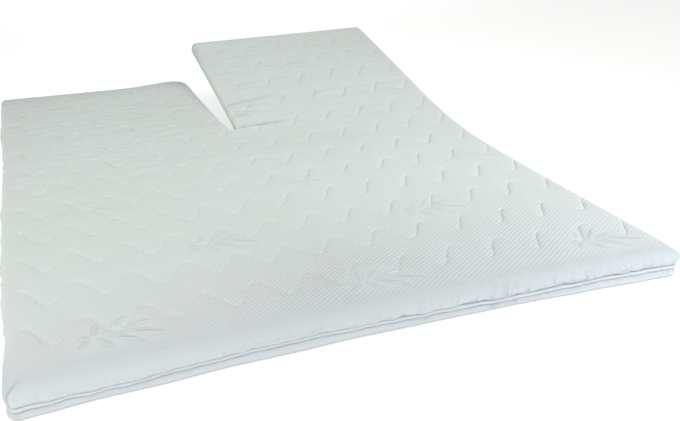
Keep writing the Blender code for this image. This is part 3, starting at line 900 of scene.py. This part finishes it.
# colour: a cool white, each layer laid over the ones before it by its share. The ribbed top and
# the smooth cloth of the rolls and sides are coloured apart, and then joined
patches = add("TexNoise", {"Vector": plan, "Scale": 1.6, "Detail": 3.0}, out="Fac")
patches = add("MULTIPLY_ADD", patches, 2.2, -0.6, use_clamp=True)
# painted light: a bluish fill light, lighter and bluer towards the foot
painted_fill_light = add("MULTIPLY_ADD", length, -2.2, -1.1, use_clamp=True)
# painted shade on the head end's roll
painted_head_shade = add("MULTIPLY_ADD", length, 20.0, -19.2, use_clamp=True)
cloth = {"ribbed": linear("D3D9D6"), "smooth": linear("D6DCD9")}
for on, share, colour in (
    ("ribbed", patches, "D8DDDC"),
    # painted bluish fill light towards the foot
    ("ribbed", painted_fill_light, "D8DCDF"),
    ("ribbed", shade, "B4BDBB"),
    ("ribbed", add("MULTIPLY", stitches, 0.30), "EEF2F1"),
    ("smooth", at_foot, "CFD5D9"),
    # painted shade at the head end
    ("smooth", painted_head_shade, "C0C7C4"),
    ("ribbed", rolled_over, "smooth"),
    # painted shade in the creases, the tuck and at the head and slit edges
    ("ribbed", add("MULTIPLY", fold_and_shade, 0.65), "8E9594"),
    # painted contact shadow at the band's foot
    ("ribbed", contact_shadow, "838083"),
):
    laid = cloth[colour] if colour in cloth else linear(colour)
    cloth[on] = add("Mix", {"Factor": share, 6: cloth[on], 7: laid}, out=2, data_type="RGBA")
tree.links.new(cloth["ribbed"], shader.inputs["Base Color"])

cover.data.materials.append(jersey)
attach(cover, "root")
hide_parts("quilted_pad")


# ---- Zip strip -------------------------------------------------------------------------------
# A narrow strip of plain cloth, folded over and sewn along the zip in the groove of the side. It
# runs from one side of the slit round to the other, and bulges a little between its two seams.

STRIP_BACK = 0.0094                          # in from the side's widest point
STRIP_FACE = 0.0036
FACE_STEPS = 10                              # down the strip's face
STRIP_STEPS = FACE_STEPS + 2                 # and up again behind it
STRIP_FULL = 0.55                            # how full its face is: 1 is a half round, less is fuller
STRIP_UNEVEN = {"share": 0.16, "most": 1.06, "per_metre": 17.0, "down": 1.5, "seed": 6.0}
STRIP_GAP = 0.1                              # the strip breaks off at the slit

stations = [point for point in edge_points if point["outer"] == 1.0]
first = next(k for k in range(len(stations))
             if stations[k]["run"] - stations[k - 1]["run"] > STRIP_GAP)
stations = stations[first:] + stations[:first]

bm = bmesh.new()
bmesh.ops.create_grid(bm, x_segments=len(stations) - 1, y_segments=STRIP_STEPS, size=1.0)
strip_uv = bm.loops.layers.uv.new("strip")
for face in bm.faces:
    for loop in face.loops:
        i = round((loop.vert.co.x + 1.0) / 2.0 * (len(stations) - 1))
        down = (loop.vert.co.y + 1.0) / 2.0 * STRIP_STEPS / FACE_STEPS
        loop[strip_uv].uv = (stations[i]["run"], STRIP_TALL * (1.0 - down))
for vert in bm.verts:
    point = stations[round((vert.co.x + 1.0) / 2.0 * (len(stations) - 1))]
    j = round((vert.co.y + 1.0) / 2.0 * STRIP_STEPS)
    # down its face, and then halfway up its back and to its top again
    down = {FACE_STEPS + 1: 0.5, FACE_STEPS + 2: 0.0}.get(j, j / FACE_STEPS)
    bulge = 0.0
    if j <= FACE_STEPS:
        spot = Vector((point["run"] * STRIP_UNEVEN["per_metre"], down * STRIP_UNEVEN["down"],
                       STRIP_UNEVEN["seed"]))
        slack = 1.0 + STRIP_UNEVEN["share"] * noise.noise(spot)
        bulge = (STRIP_BACK - STRIP_FACE) * math.sin(math.pi * down) ** STRIP_FULL
        bulge *= min(slack, STRIP_UNEVEN["most"])
    spot = point["spot"] + point["inward"] * (STRIP_BACK - bulge)
    high = strip_top(*point["spot"]) + point["rise"]
    vert.co = (spot.x, spot.y, high - STRIP_TALL * down)
bmesh.ops.remove_doubles(bm, verts=bm.verts[:], dist=1e-6)
bmesh.ops.holes_fill(bm, edges=[edge for edge in bm.edges if edge.is_boundary], sides=0)
strip = laid_down("zip_strip_cloth", bm)

# plain woven polyester: smoother and whiter than the jersey, with a row of stitches at each edge
WEAVE = (0.0016, 0.0014)                     # drawn coarser than the real 0.4 mm, so that it shows
STRIP_STITCH = 0.0045
STRIP_THREAD_HALF = 0.0006                   # drawn coarser than the real 0.2 mm, too
STITCHED_IN = 0.0022                         # from the strip's edge to its row of stitches

tape, tree, shader = start_material("plain woven strip cloth", {
    "Roughness": 0.75, "Specular IOR Level": 0.35, "Sheen Weight": 0.10})
along, down, _ = add("SeparateXYZ", add("UVMap", uv_map="strip")).node.outputs
warp, weft = [add("SINE", add("MULTIPLY", way, 2.0 * math.pi / pitch))
              for way, pitch in zip((along, down), WEAVE)]
weave = add("MULTIPLY", warp, weft)
from_middle = add("ABSOLUTE", add("SUBTRACT", down, STRIP_TALL / 2))
from_seam = add("ABSOLUTE", add("SUBTRACT", from_middle, STRIP_TALL / 2 - STITCHED_IN))
dash = add("SINE", add("MULTIPLY", along, 2.0 * math.pi / STRIP_STITCH))
dash = add("MULTIPLY_ADD", dash, 2.5, 1.9, use_clamp=True)
thread = add("MULTIPLY_ADD", from_seam, -1.0 / STRIP_THREAD_HALF, 1.0, use_clamp=True)
relief = add("MULTIPLY_ADD", add("MULTIPLY", dash, thread), 0.00025,
             add("MULTIPLY", weave, 0.00005))
bump = add("Bump", {"Height": relief, "Strength": 1.0, "Distance": 1.0})
tree.links.new(bump, shader.inputs["Normal"])
patches = add("TexNoise", {"Vector": add("CombineXYZ", along, down), "Scale": 25.0}, out="Fac")
white = add("Mix", {
    "Factor": patches, 6: linear("D2D8DB"), 7: linear("D8DDE0")}, out=2, data_type="RGBA")
tree.links.new(white, shader.inputs["Base Color"])

strip.data.materials.append(tape)
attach(strip, "root")
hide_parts("zip_strip")


# ---- Floor, light and camera -----------------------------------------------------------------
# A pale matt floor of backdrop paper, lit a little from within, so that it is near white. A wide
# softbox hangs overhead, two stand in front of the foot's corners, one fills in from low in front,
# and one lights the backdrop. The camera stands at the photograph's place.

FLOOR_HALF = 14.0
FLOOR_PLACE = (0.0, 4.0, -0.0006)            # a hair under the underside, so that the two don't mix

bm = bmesh.new()
bmesh.ops.create_grid(bm, x_segments=1, y_segments=1, size=FLOOR_HALF)
bmesh.ops.translate(bm, verts=bm.verts[:], vec=FLOOR_PLACE)
floor = finished("studio_floor", bm)
paper, tree, shader = start_material("matt backdrop paper", {
    "Base Color": linear("FAFAFA"), "Roughness": 0.95,
    "Emission Color": linear("FFFFFF"), "Emission Strength": 0.29})
floor.data.materials.append(paper)

world = bpy.data.worlds.new("studio air")
world.use_nodes = True
sky = world.node_tree.nodes["Background"]
sky.inputs["Color"].default_value = linear("FBFDFA")
sky.inputs["Strength"].default_value = 0.60
bpy.context.scene.world = world

LIGHTS = (
    {"name": "overhead softbox", "place": (0.4, 0.4, 4.0), "aim": (0.2, 0.0, 0.0),
     "size": 4.0, "power": 36.0, "spread": 180.0, "colour": "FCFFFA"},
    {"name": "left front softbox", "place": (-1.60, -2.10, 1.9), "aim": (-0.78, -0.25, 0.0),
     "size": 0.9, "power": 3.1, "spread": 60.0, "colour": "FFFFFC"},
    {"name": "right front softbox", "place": (1.60, -2.10, 1.9), "aim": (0.86, -0.42, 0.0),
     "size": 0.9, "power": 4.4, "spread": 60.0, "colour": "F6FAFF"},
    {"name": "low fill softbox", "place": (0.5, -4.2, 1.0), "aim": (0.3, -1.0, 0.0),
     "size": 2.0, "power": 13.0, "spread": 180.0, "colour": "FAFCFF"},
    {"name": "backdrop softbox", "place": (1.0, 4.6, 2.4), "aim": (1.0, 4.8, 0.0),
     "size": 3.0, "power": 12.0, "spread": 90.0, "colour": "FFFFFF"},
)
for row in LIGHTS:
    light = bpy.data.lights.new(row["name"], "AREA")
    light.shape = "SQUARE"
    light.size = row["size"]
    light.energy = row["power"]
    light.spread = math.radians(row["spread"])
    light.color = linear(row["colour"])[:3]
    lamp = bpy.data.objects.new(row["name"], light)
    lamp.location = row["place"]
    facing = Vector(row["aim"]) - Vector(row["place"])
    lamp.rotation_euler = facing.to_track_quat("-Z", "Y").to_euler()
    bpy.context.scene.collection.objects.link(lamp)
bpy.context.scene.view_settings.view_transform = "Standard"

# the camera's place was worked out from the plan's corners and the rows of quilting
view = bpy.data.cameras.new("camera")
view.sensor_width = 36.0
view.lens = 37.13
view.shift_x = 0.122
camera = bpy.data.objects.new("camera", view)
camera.location = (-0.6858, -2.1219, 0.9304)
camera.rotation_euler = [math.radians(turn) for turn in (64.22, 0.804, -18.219)]
bpy.context.scene.collection.objects.link(camera)
bpy.context.scene.camera = camera
